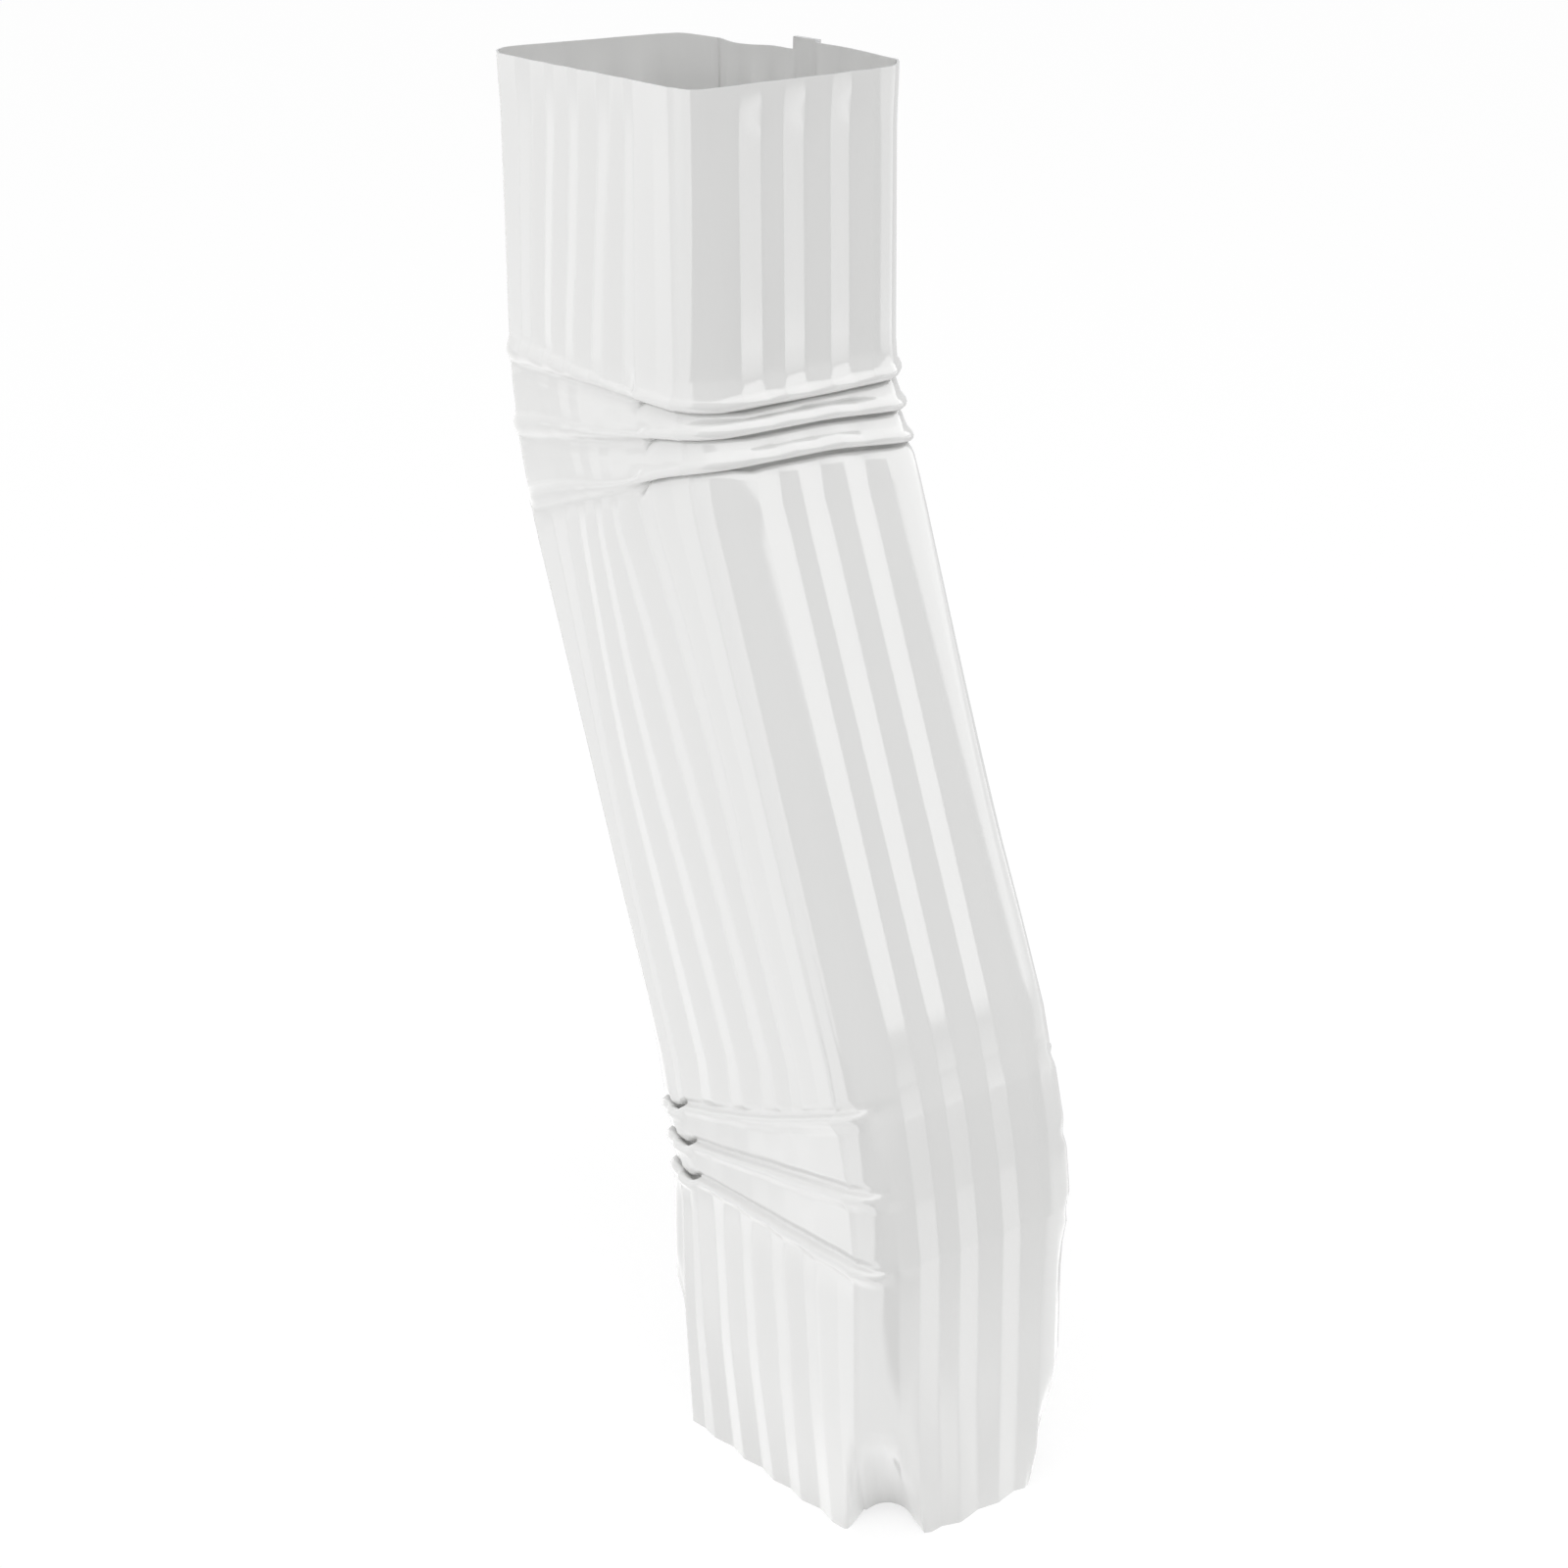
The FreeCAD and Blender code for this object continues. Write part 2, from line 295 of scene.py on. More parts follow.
# How much lower than the upper bend's mirror image each of the lower bend's crimps lies, by its place across
LOWER_DROPS = (
    ((-41, 3.2), (-30, 3.1), (-15, 1.7), (5, 0.9), (29, 1.0), (36, 1.9), (42, 3.2)),
    ((-41, 3.2), (-30, 3.2), (-10, 2.0), (5, 1.1), (29, 1.1), (36, 1.9), (42, 3.2)),
    ((-41, 3.0), (-28, 3.0), (5, 2.3), (29, 1.4), (42, 1.6)),
)

# How much sooner the lower crimps end on the back face
BACK_TIP_SHORTER = 5.0


class Column:
    """One line down the sheet: its place and way out on the section, and its share of the groove."""

    def __init__(self, x, y, out_x, out_y, groove=0.0, seam=0.0, line=None, apex=0.0):
        self.x = x
        self.y = y
        self.out_x = out_x
        self.out_y = out_y
        self.groove = groove
        self.seam = seam
        self.line = line
        self.apex = apex
        self.turn = 0.0


def flank_steps(lines):
    """Places and groove shares across a face, from its named crests and grooves."""
    found = []
    for (start, share), (end, next_share) in zip(lines, lines[1:]):
        for step in FLANK_STEPS:
            groove = mix(share, next_share, step)
            if step == 0.0 and share in (0.0, 1.0):
                groove = FOLD_ROUNDING if share == 0.0 else 1 - FOLD_ROUNDING
            found.append((mix(start, end, step), groove))
    found.append(lines[-1])
    return found


def corner(size, sign_x, sign_y):
    """A rounded corner's columns, from its narrow face to its wide face."""
    found = []
    radius = size["corner_radius"]
    for step in range(CORNER_STEPS + 1):
        angle = mix(CORNER_START, CORNER_END, step / CORNER_STEPS)
        out_x, out_y = sign_x * math.cos(angle), sign_y * math.sin(angle)
        x = sign_x * (size["wide"] / 2 - radius) + radius * out_x
        y = sign_y * (size["narrow"] / 2 - radius) + radius * out_y
        found.append(Column(x, y, out_x, out_y, apex=math.sin(math.pi * step / CORNER_STEPS) ** 2))
    return found


def narrow_face(size, sign_x):
    """A narrow face's columns, from -Y to +Y."""
    pitch = size["flute_pitch"]
    lines = RIGHT_LINES if sign_x > 0 else [((n - 3) * pitch / 2, float(n % 2)) for n in range(7)]
    return [Column(sign_x * size["wide"] / 2, y, sign_x, 0, groove) for y, groove in flank_steps(lines)]


def front_face(size):
    """The front wide face's columns from -X to +X, each at its place between the crest lines."""
    shares = [0.0, EDGE_GROOVE] + [0.0, 1.0] * 4 + [0.0, RIGHT_EDGE_GROOVE, 0.0]
    lines = list(enumerate(shares))
    y = -size["narrow"] / 2
    return [Column(0, y, 0, -1, groove, line=line) for line, groove in flank_steps(lines)[1:-1]]


def back_face(size, sign_x):
    """Half of the back wide face, from the seam outwards."""
    half = size["seam_width"] / 2
    share = half / BACK_LINES[0][0]
    lines = [(half, share)] + list(BACK_LINES) + [(corner_edge(size), 0.0)]
    steps = [lines[0]] + flank_steps(lines[1:])[:-1]
    return [Column(sign_x * x, size["narrow"] / 2, 0, 1, groove) for x, groove in steps]


def corner_edge(size):
    """How far from the middle a wide face's corner begins."""
    return size["wide"] / 2 - size["corner_radius"] * (1 - math.cos(CORNER_END))


def section(size):
    """All the columns, clockwise from above: from the seam's +X edge round to the seam again."""
    columns = back_face(size, 1)
    columns += reversed(corner(size, 1, 1))
    columns += reversed(narrow_face(size, 1))
    columns += corner(size, 1, -1)
    columns += reversed(front_face(size))
    columns += reversed(corner(size, -1, -1))
    columns += narrow_face(size, -1)
    columns += corner(size, -1, 1)
    columns += reversed(back_face(size, -1))
    travelled = 0.0
    for here, after in zip(columns, columns[1:]):
        travelled += math.hypot(place_across(size, after, 0) - place_across(size, here, 0), after.y - here.y)
        after.turn = travelled
    for column in columns:
        column.turn /= travelled
    half = size["seam_width"] / 2 - SEAM_BEVEL
    crests = size["narrow"] / 2
    columns += [Column(share * half, crests, 0, 1, seam=seam) for share, seam in SEAM_STEPS]
    return columns


def crest_places(size, down):
    """The front face's corner edges, crests and grooves at one distance down the pipe."""
    edge = corner_edge(size)
    crests = [-edge] + read_table(CREST_LINES, down) + [edge]
    places = []
    for here, after in zip(crests, crests[1:]):
        places += [here, (here + after) / 2]
    return places + [edge]


def place_across(size, column, down):
    """A column's place across the run."""
    if column.line is None:
        return column.x
    places = crest_places(size, down)
    at = min(int(column.line), len(places) - 2)
    return mix(places[at], places[at + 1], column.line - at)


def groove_depth(size, column, down):
    """How deep the groove is at a column: in proportion to the spacing of its crests."""
    if column.line is None:
        return size["flute_depth"] * column.groove
    places = crest_places(size, down)
    at = int(column.line)
    at = min(at if at % 2 else at + (1 if column.line > at or at == 0 else -1), len(places) - 2)
    spacing = places[at + 1] - places[at - 1]
    return size["flute_depth"] * column.groove * spacing / size["flute_pitch"]


def girth(size, column, x):
    """How far round the section a column is from the face on the inside of the bend, which is at +X."""
    radius = size["corner_radius"]
    quarter = radius * math.pi / 2
    flat = size["wide"] - 2 * radius
    if abs(column.out_y) < 1e-6:
        return 0.0 if x > 0 else 2 * quarter + flat
    if abs(column.out_x) > 1e-6:
        angle = math.atan2(abs(column.out_y), abs(column.out_x))
        return radius * angle if x > 0 else 2 * quarter + flat - radius * angle
    return quarter + size["wide"] / 2 - radius - x


class Bends:
    """The lines that both bends are built on."""

    def __init__(self, size, crimp):
        self.size = size
        self.crimp = crimp
        self.break_height = size["outlet_run"] + size["slant_height"]
        self.mouth_height = self.break_height + size["inlet_run"]
        self.angle = math.atan2(size["offset"], size["slant_height"])
        self.slant = math.hypot(size["offset"], size["slant_height"])
        self.centre = Vector((-size["offset"] / 2, 0, size["outlet_run"] + size["slant_height"] / 2))
        turn = self.angle / 3
        self.ways = [Vector((math.sin(turn * n), 0, -math.cos(turn * n))) for n in range(4)]
        half = size["wide"] / 2
        shift = half * math.tan(self.angle / 2)
        outside = Vector((-size["offset"] - half, 0, self.break_height - shift))
        inside = Vector((-size["offset"] + half, 0, self.break_height + shift))
        reach = crimp["pitch_outside"] * math.cos(turn / 2) / math.cos(self.angle / 2)
        self.outside = [outside - self.ways[0] * reach]
        for way in self.ways[1:-1]:
            self.outside.append(self.outside[-1] + way * crimp["pitch_outside"])
        first = inside - self.ways[0] * crimp["drop_inside"]
        last = inside + self.ways[-1] * (crimp["pitch_inside"] * 2 - crimp["drop_inside"])
        self.inside = [first + (last - first) * (n / 2) for n in range(3)]

    def down(self, point):
        """How far down the pipe a point of its axis plane is, as far as the slanted run's end."""
        above = self.mouth_height - point.z
        top = self.size["inlet_run"]
        break_point = Vector((-self.size["offset"], 0, self.break_height))
        return above if above < top else top + max((point - break_point).dot(self.ways[-1]), 0.0)

    def kink(self, n, x):
        """Where crimp n crosses the sheet at x, with the inside of the bend at +X."""
        share = x / self.size["wide"] + 0.5
        rise = CREASE_BOWS[n] * 4 * share * (1 - share)
        return self.outside[n].lerp(self.inside[n], share) + Vector((0, 0, rise))

    def way_in(self, n, x):
        """The way down the sheet above crimp n."""
        return (self.kink(n, x) - self.kink(n - 1, x)).normalized() if n else self.ways[0]

    def way_out(self, n, x):
        """The way down the sheet below crimp n."""
        return (self.kink(n + 1, x) - self.kink(n, x)).normalized() if n < 2 else self.ways[-1]


def crimp_shape(bends, n, step, around, pit, tip, level, upper):
    """Distance down, distance out and share of the flutes at one step through a crimp."""
    crimp = bends.crimp
    lap = 1 - smooth(around, pit - 2.0, pit + 2.0)
    spread = smooth(around, pit, tip - 4)
    ends = 1 - smooth(around, tip - 2.5, tip + 1.5)
    if upper:
        ridge, valley_scale = RIDGE, 1.0
        width = mix(0.75, crimp["ridge_width"], spread)
        height = mix(0.75, crimp["ridge_height"] * 0.75, spread) * ends
    else:
        ridge, valley_scale = SOFT_RIDGE, 0.55
        width = mix(0.8, crimp["ridge_width"] * 0.6, spread)
        height = mix(0.85, crimp["ridge_height"], spread**1.5) * ends
    valley = mix(1.0, 0.5, spread) * (1 - smooth(around, tip - 6, tip + 1))
    if step < len(RIDGE):
        down, out = ridge[step][0] * width, ridge[step][1] * height
    else:
        down, out = VALLEY[step - len(RIDGE)][0] * valley_scale, -VALLEY[step - len(RIDGE)][1] * valley
    out -= 0.7 * bell(around - tip - 3.0, 2.2) * bell(down + width, 2.6)
    lap_down, lap_out, lap_flute = LAP[step]
    gape = bell(around - pit + 0.8, 1.5 if upper else 1.2)
    if step > 8:
        lap_down += (1.1 if upper else 0.8) * gape
    if upper:
        opening = read_table(FOLD_OPENINGS[n], level)[0]
        if step > 11:
            lap_down += OPENING * opening
        if step > 5:
            lap_out = mix(max(lap_out, -0.5), lap_out, 1 - smooth(level, 20, 28 + 2 * (n == 2)))
    else:
        lap_down -= 1.2 * smooth(around, pit - 9, pit - 3)
        if n > 0 and around > tip:
            out -= 0.25 * max(1 - abs(down) / 8, 0.0) ** 2
    band = BAND_FLUTE
    if n == 0 and step < len(RIDGE):
        band = mix(1.0 if upper else 0.5, BAND_FLUTE, smooth(step, 1, 5))
        lap_flute = mix(1.0, lap_flute, smooth(step, 0, 3))
    if n == 2 and step > 9:
        band = mix(BAND_FLUTE, 0.85, smooth(step, 9, 18))
        lap_flute = mix(lap_flute, 0.95, smooth(step, 13, 17))
    flute = mix(band, 1.0, smooth(around, tip - 4, tip + 1))
    return mix(down, lap_down, lap), mix(out, lap_out, lap), mix(flute, lap_flute, lap)


class Row:
    """One ring of the sheet. Its own maker gives each column's point, way out and flutes."""

    def __init__(self, down, maker, rim=0.0, foot=False):
        self.down = down
        self.maker = maker
        self.rim = rim
        self.foot = foot


def straight_maker(bends, left, right, flute=1.0, spread_y=0.0):
    """A plain ring between the middles of its -X and +X faces."""

    def make(x, column):
        share = x / bends.size["wide"] + 0.5
        base = left.lerp(right, share)
        run = (right - left).normalized()
        y = column.y * (1 + spread_y / (bends.size["narrow"] / 2))
        return base + Vector((0, y, 0)), run, 0.0, flute

    return make


def crimp_maker(bends, n, step, upper):
    """A ring through a crimp of the upper bend, or of the lower one, which is the upper turned half round."""
    sign = 1 if upper else -1
    pit = (UPPER_PITS if upper else LOWER_PITS)[n]
    tip = (UPPER_TIPS if upper else LOWER_TIPS)[n]

    def make(x, column):
        near = sign * x
        around = girth(bends.size, column, near)
        level = column.y if near > 0 else math.copysign(31.5, column.y)
        far_tip = tip - BACK_TIP_SHORTER if column.y > 0 and not upper else tip
        down, out, flute = crimp_shape(bends, n, step, around, pit, far_tip, level, upper)
        way = bends.way_in(n, near) if down < 0 else bends.way_out(n, near)
        point = bends.kink(n, near) + way * down
        if upper:
            point.z += FRONT_LIFTS[n] * (1 - smooth(around, 14, 46)) * (1 - smooth(level, 0, 31))
        mean = (bends.way_in(n, near) + bends.way_out(n, near)).normalized()
        run = Vector((-mean.z, 0, mean.x))
        if not upper:
            point = bends.centre * 2 - point
            point.z -= read_table(LOWER_DROPS[n], x)[0]
        return point + Vector((0, column.y, 0)), run, out, flute

    return make


def run_out(bends, n, upper, beyond):
    """The plain ring a little past the first or last crimp."""
    way = bends.ways[0] if n == 0 else bends.ways[-1]
    left = bends.outside[n] + way * beyond
    right = bends.inside[n] + way * beyond
    if not upper:
        left, right = bends.centre * 2 - right, bends.centre * 2 - left
    return left, right


def level_ends(bends, middle, height, spread=0.0):
    """The middles of the -X and +X faces of a level ring."""
    half = bends.size["wide"] / 2 + spread
    return Vector((middle - half, 0, height)), Vector((middle + half, 0, height))


# The mouth opens a little over its flare to take the pipe above, and its flutes are pressed flatter
MOUTH_FLARE = 14.0
MOUTH_SPREAD_X = 0.4
MOUTH_SPREAD_Y = 0.3
MOUTH_FLUTE = 0.35
MOUTH_ROWS = (0.0, 0.5, 1.5, 3.5, 6.0, 9.0, 11.5, 14.0, 20.0, 28.0, 36.0, 44.0, 52.0, 58.0)
SLANT_ROWS = 16
FOOT_ROWS = 22
# How far past a bend's first and last crimps the plain runs begin
RUN_OUT = 8.0
LOWEST_RUN_OUT = 13.0


def sheet_rows(bends):
    """All the rings from the mouth down to the outlet's edge."""
    size = bends.size
    rows = []
    for down in MOUTH_ROWS:
        open_share = 1 - smooth(down, 0, MOUTH_FLARE)
        ends = level_ends(bends, -size["offset"], bends.mouth_height - down, MOUTH_SPREAD_X * open_share)
        flute = mix(1.0, MOUTH_FLUTE, open_share)
        maker = straight_maker(bends, *ends, flute, MOUTH_SPREAD_Y * open_share)
        rows.append(Row(down, maker, rim=open_share))
    ends = run_out(bends, 0, True, -RUN_OUT)
    rows.append(Row(bends.down(ends[0].lerp(ends[1], 0.5)), straight_maker(bends, *ends)))
    mirror = 2 * bends.down(bends.centre)
    folds = [(n, step) for n in range(3) for step in range(len(LAP))]
    crimps = []
    for n, step in folds:
        middle = bends.kink(n, 0)
        crimps.append((n, step, bends.down(middle) + (LAP[step][0] if step < 6 else VALLEY[step - 6][0])))
    rows += [Row(down, crimp_maker(bends, n, step, True)) for n, step, down in crimps]
    upper_end = run_out(bends, 2, True, RUN_OUT)
    lower_end = run_out(bends, 2, False, RUN_OUT)
    for n in range(SLANT_ROWS + 1):
        share = n / SLANT_ROWS
        ends = [a.lerp(b, share) for a, b in zip(upper_end, lower_end)]
        rows.append(Row(bends.down(ends[0].lerp(ends[1], 0.5)), straight_maker(bends, *ends)))
    for n, step, down in reversed(crimps):
        rows.append(Row(mirror - down, crimp_maker(bends, n, step, False)))
    ends = run_out(bends, 0, False, -LOWEST_RUN_OUT)
    start = (ends[0].z + ends[1].z) / 2
    whole = size["inlet_run"] + bends.slant + size["outlet_run"]
    rows.append(Row(whole - start, straight_maker(bends, *ends)))
    for n in range(1, 4):
        height = mix(start, size["outlet_length"], n / 4)
        rows.append(Row(whole - height, straight_maker(bends, *level_ends(bends, 0, height))))
    for n in range(FOOT_ROWS + 1):
        share = n / FOOT_ROWS
        height = size["outlet_length"] * (1 - share)
        maker = straight_maker(bends, *level_ends(bends, 0, height), 1.0, -OUTLET_SQUEEZE * share)
        rows.append(Row(whole - height, maker, foot=True))
    return rows


# The outlet: how far its wide faces are drawn in, and how its corners are folded inwards
OUTLET_SQUEEZE = 1.5
INSIDE_CORNER_PRESS = 1.2
PRESS_SOFTNESS = 1.3
PRESS_FOLD = 3.05
PRESS_WAY = math.radians(44)
# The foot's +X face stands out a little at its edge: by how much, where, and how far it spreads
FOOT_BULGE = 1.1
FOOT_BULGE_AT = -6
FOOT_BULGE_WIDTH = 11


def soft_past(distance):
    """The distance past a plane, eased in over the softness on both sides of it."""
    if distance <= -PRESS_SOFTNESS:
        return 0.0
    if distance >= PRESS_SOFTNESS:
        return distance
    return (distance + PRESS_SOFTNESS) ** 2 / (4 * PRESS_SOFTNESS)


def pressed(size, point):
    """Presses the outlet's corners in: what lies past a slanted plane goes a little past its mirror image."""
    radius = size["corner_radius"]
    way_x, way_y = math.cos(PRESS_WAY), math.sin(PRESS_WAY)
    corner_way = (size["wide"] / 2 - radius) * way_x + (size["narrow"] / 2 - radius) * way_y + radius
    for sign_x, depth in ((1, size["corner_press"]), (-1, INSIDE_CORNER_PRESS)):
        tilt = math.atan2(depth, size["outlet_length"])
        for sign_y in (1, -1):
            way = Vector((sign_x * way_x, sign_y * way_y, 0))
            distance = point.dot(way) - corner_way + depth * (1 - point.z / size["outlet_length"])
            normal = way * math.cos(tilt) - Vector((0, 0, math.sin(tilt)))
            point = point - normal * (PRESS_FOLD * soft_past(distance * math.cos(tilt)))
    return point


def corner_push(column, down):
    """How far a corner's column is moved out from its round."""
    front_left, back_right, front_right = read_table(CORNER_LINES, down)
    if column.out_x < 0:
        return front_left * column.apex if column.out_y < 0 else 0.0
    return (front_right if column.out_y < 0 else back_right) * column.apex


def sheet_point(bends, row, column):
    """Where the sheet's outer surface passes at one row and column."""
    size = bends.size
    x = place_across(size, column, row.down)
    bow = 0.0
    if not column.out_x:
        bow = read_table(BOW, row.down)[0] * max(1 - (x / corner_edge(size)) ** 2, 0.0)
        bow *= BACK_BOW if column.out_y > 0 else 1.0
    if column.line is not None:
        x += BOW_DRIFT * bow
    base, run, out, flute = row.maker(x, column)
    if column.out_x < 0 or column.out_y > 0:
        flute *= 1 - 0.6 * row.rim
    push = out + bow + size["seam_rise"] * column.seam - groove_depth(size, column, row.down) * flute
    if column.apex:
        push += corner_push(column, row.down)
    point = base + (run * column.out_x + Vector((0, column.out_y, 0))) * push
    if row.rim:
        lift = SEAM_RIM if column.seam else read_table(RIM_HEIGHTS, column.turn)[0]
        point.z += lift * row.rim
    if row.foot:
        if column.out_x > 0.9:
            lowness = 1 - point.z / size["outlet_length"]
            point.x += FOOT_BULGE * lowness * bell(point.y - FOOT_BULGE_AT, FOOT_BULGE_WIDTH)
        point = pressed(size, point)
    return point


def form_sheet(size, crimp):
    """The whole elbow: a flat blank, rolled and pressed to shape, closed, and given its thickness."""
    bends = Bends(size, crimp)
    columns = section(size)
    rows = sheet_rows(bends)
    around, along = len(columns), len(rows) - 1
    blank = bmesh.new()
    bmesh.ops.create_grid(blank, x_segments=around, y_segments=along, size=0.5)
    layer = blank.verts.layers.deform.verify()
    thickest = size["sheet"] + size["seam_rise"]
    for corner_point in blank.verts:
        column = columns[round((corner_point.co.x + 0.5) * around) % around]
        row = rows[along - round((corner_point.co.y + 0.5) * along)]
        corner_point.co = sheet_point(bends, row, column)
        corner_point[layer][0] = (size["sheet"] + size["seam_rise"] * column.seam) / thickest
    bmesh.ops.remove_doubles(blank, verts=blank.verts, dist=0.0005)
    bmesh.ops.recalc_face_normals(blank, faces=blank.faces)
    front = min(blank.faces, key=lambda face: face.calc_center_median().y)
    if front.normal.y > 0:
        bmesh.ops.reverse_faces(blank, faces=blank.faces)
    bmesh.ops.scale(blank, vec=(MM, MM, MM), verts=blank.verts)
    for face in blank.faces:
        face.smooth = True
    for edge in blank.edges:
        edge.smooth = not edge.is_boundary
    return blank


# Materials


def add_node(tree, kind, settings=None, links=None):
    """Adds a node, sets its properties and sockets, and links sockets to other nodes' outputs."""
    node = tree.nodes.new(kind)
    for name, value in (settings or {}).items():
        if isinstance(name, str) and hasattr(node, name):
            setattr(node, name, value)
        else:
            node.inputs[name].default_value = value
    for name, source in (links or {}).items():
        tree.links.new(source, node.inputs[name])
    return node


def new_material(name):
    """An empty node material and its node tree."""
    material = bpy.data.materials.new(name)
    material.use_nodes = True
    material.node_tree.nodes.clear()
    return material, material.node_tree


def baked_enamel(finish):
    """Baked enamel on roll-formed aluminium: a smooth gloss coat that shows panels with crisp edges, very
    slightly uneven from the roller and a little duller in soft patches."""
    material, tree = new_material("baked_enamel_on_aluminium")
    coords = add_node(tree, "ShaderNodeTexCoord")
    place = coords.outputs["Object"]
    # Patches some 40 mm across, where the coat took a shade more or less
    patches = add_node(tree, "ShaderNodeTexNoise", {"Scale": 25.0, "Detail": 2.0}, {"Vector": place})
    tone = add_node(
        tree, "ShaderNodeMapRange", {"To Min": 0.985, "To Max": 1.01}, {"Value": patches.outputs["Fac"]}
    )
    paint = add_node(
        tree, "ShaderNodeMix", {"data_type": "RGBA", "blend_type": "MULTIPLY", 0: 1.0},
        {7: tone.outputs["Result"]},
    )
    paint.inputs[6].default_value = (*finish["enamel"], 1)
    dull = add_node(
        tree, "ShaderNodeMapRange",
        {"To Min": finish["roughness"] - 0.02, "To Max": finish["roughness"] + 0.04},
        {"Value": patches.outputs["Fac"]},
    )
    # Orange peel: humps about 2 mm apart and a few thousandths of a millimetre high
    peel = add_node(tree, "ShaderNodeTexNoise", {"Scale": 500.0, "Detail": 1.0}, {"Vector": place})
    bump = add_node(
        tree, "ShaderNodeBump", {"Strength": 0.2, "Distance": 0.00001}, {"Height": peel.outputs["Fac"]}
    )
    shader = add_node(
        tree, "ShaderNodeBsdfPrincipled", {"IOR": 1.5},
        {"Base Color": paint.outputs[2], "Roughness": dull.outputs["Result"], "Normal": bump.outputs["Normal"]},
    )
    add_node(tree, "ShaderNodeOutputMaterial", links={"Surface": shader.outputs["BSDF"]})
    return material


def cut_edge(finish):
    """Sheared aluminium: bright bare metal with fine marks of the blade across the edge."""
    material, tree = new_material("sheared_aluminium_edge")
    coords = add_node(tree, "ShaderNodeTexCoord")
    # Blade marks about 0.6 mm apart
    place = coords.outputs["Object"]
    marks = add_node(tree, "ShaderNodeTexNoise", {"Scale": 1600.0, "Detail": 2.0}, {"Vector": place})
    rough = add_node(
        tree, "ShaderNodeMapRange", {"To Min": 0.28, "To Max": 0.45}, {"Value": marks.outputs["Fac"]}
    )
    shader = add_node(
        tree, "ShaderNodeBsdfPrincipled", {"Metallic": 1.0, "Base Color": (*finish["bare"], 1)},
        {"Roughness": rough.outputs["Result"]},
    )
    add_node(tree, "ShaderNodeOutputMaterial", links={"Surface": shader.outputs["BSDF"]})
    return material


# The studio

# What the gloss sees round the object: two white panels, a plain back and a dim gap in front. Each panel
# lies between two directions, in degrees round from +X, and each direction starts at its own point, in
# metres
LEFT_PANEL = (-150.0, -66.0, (0.02, -0.028), (0.02, -0.028))
LEFT_ON_TABLE = (-150.0, -77.0, (0.015, -0.03), (0.108, -0.03))
LEFT_SCREEN = (-197.0, -140.0, (0.02, -0.028), (0.05, -0.03))
RIGHT_PANEL = (48.0, 100.0, (0.0, 0.0), (0.0, 0.0))
RIGHT_ON_TABLE = (47.5, 100.0, (0.04, 0.0), (0.03, 0.0))
# The right panel's first edge leans, and crosses its direction at this height
RIGHT_LEAN = 1.33
LEAN_HEIGHT = 0.156
BACK_HALF = (53.0, 232.9, (0.0, 0.0), (0.0, 0.0))
NEAR_GLOW = (0.0, 100.0, (0.04, -0.012), (0.03, 0.0))
EDGE_BLUR = 0.02
BACK_LIGHT = 0.85
SCREEN_LIGHT = 1.95

# How bright the right panel and the table's own glow look, by distance from the object in metres
RIGHT_LEVELS = (
    (0.1, 0.68), (0.2, 0.58), (0.31, 0.55), (0.36, 0.33), (1.03, 0.36), (1.08, 1.0), (1.2, 0.93),
    (1.3, 0.62), (1.9, 0.55), (2.4, 0.5), (3.9, 0.48),
)
GLOW_LEVELS = ((0.06, 1.5), (0.08, 1.7), (0.11, 1.9), (0.18, 0.9), (0.32, 0.5), (0.6, 0.2))
TABLE_SPAN = 4.0
TABLE_RADIUS = 12.0
# How much of the table's white the camera sees, over the shadow that falls on it
TABLE_WHITE = 0.72

LAMP_PLACE = (0.4, -0.4, 1.55)
LAMP_AIM = (0, 0, 0.15)


def ramp(tree, value, low, high, start=0.0, end=1.0):
    """A value mapped in a straight line, and held at both ends."""
    limits = {"From Min": low, "From Max": high, "To Min": start, "To Max": end}
    return add_node(tree, "ShaderNodeMapRange", limits, {"Value": value}).outputs["Result"]


def combine(tree, operation, first, second):
    """The sum, product, least or greatest of two values."""
    return add_node(tree, "ShaderNodeMath", {"operation": operation}, {0: first, 1: second}).outputs["Value"]


def profile(tree, value, stops):
    """A value read off a line through stops."""
    node = add_node(tree, "ShaderNodeValToRGB", links={"Fac": value})
    points = node.color_ramp.elements
    while len(points) < len(stops):
        points.new(1.0)
    for point, (place, level) in zip(points, stops):
        point.position = place
        point.color = (level, level, level, 1)
    return node.outputs["Color"]


def wedge(tree, place, span, lean=0.0):
    """1 between two directions round a point, and 0 elsewhere. The first edge may lean."""
    sides = []
    for angle, turn in ((span[0], 1), (span[1], -1)):
        angle = math.radians(angle)
        tilt = lean if turn > 0 else 0.0
        start = span[2] if turn > 0 else span[3]
        normal = Vector((-turn * math.sin(angle), turn * math.cos(angle), tilt))
        level = normal.dot(Vector((*start, LEAN_HEIGHT)))
        across = add_node(tree, "ShaderNodeVectorMath", {"operation": "DOT_PRODUCT", 1: normal}, {0: place})
        sides.append(ramp(tree, across.outputs["Value"], level - EDGE_BLUR / 2, level + EDGE_BLUR / 2))
    return combine(tree, "MINIMUM", *sides)


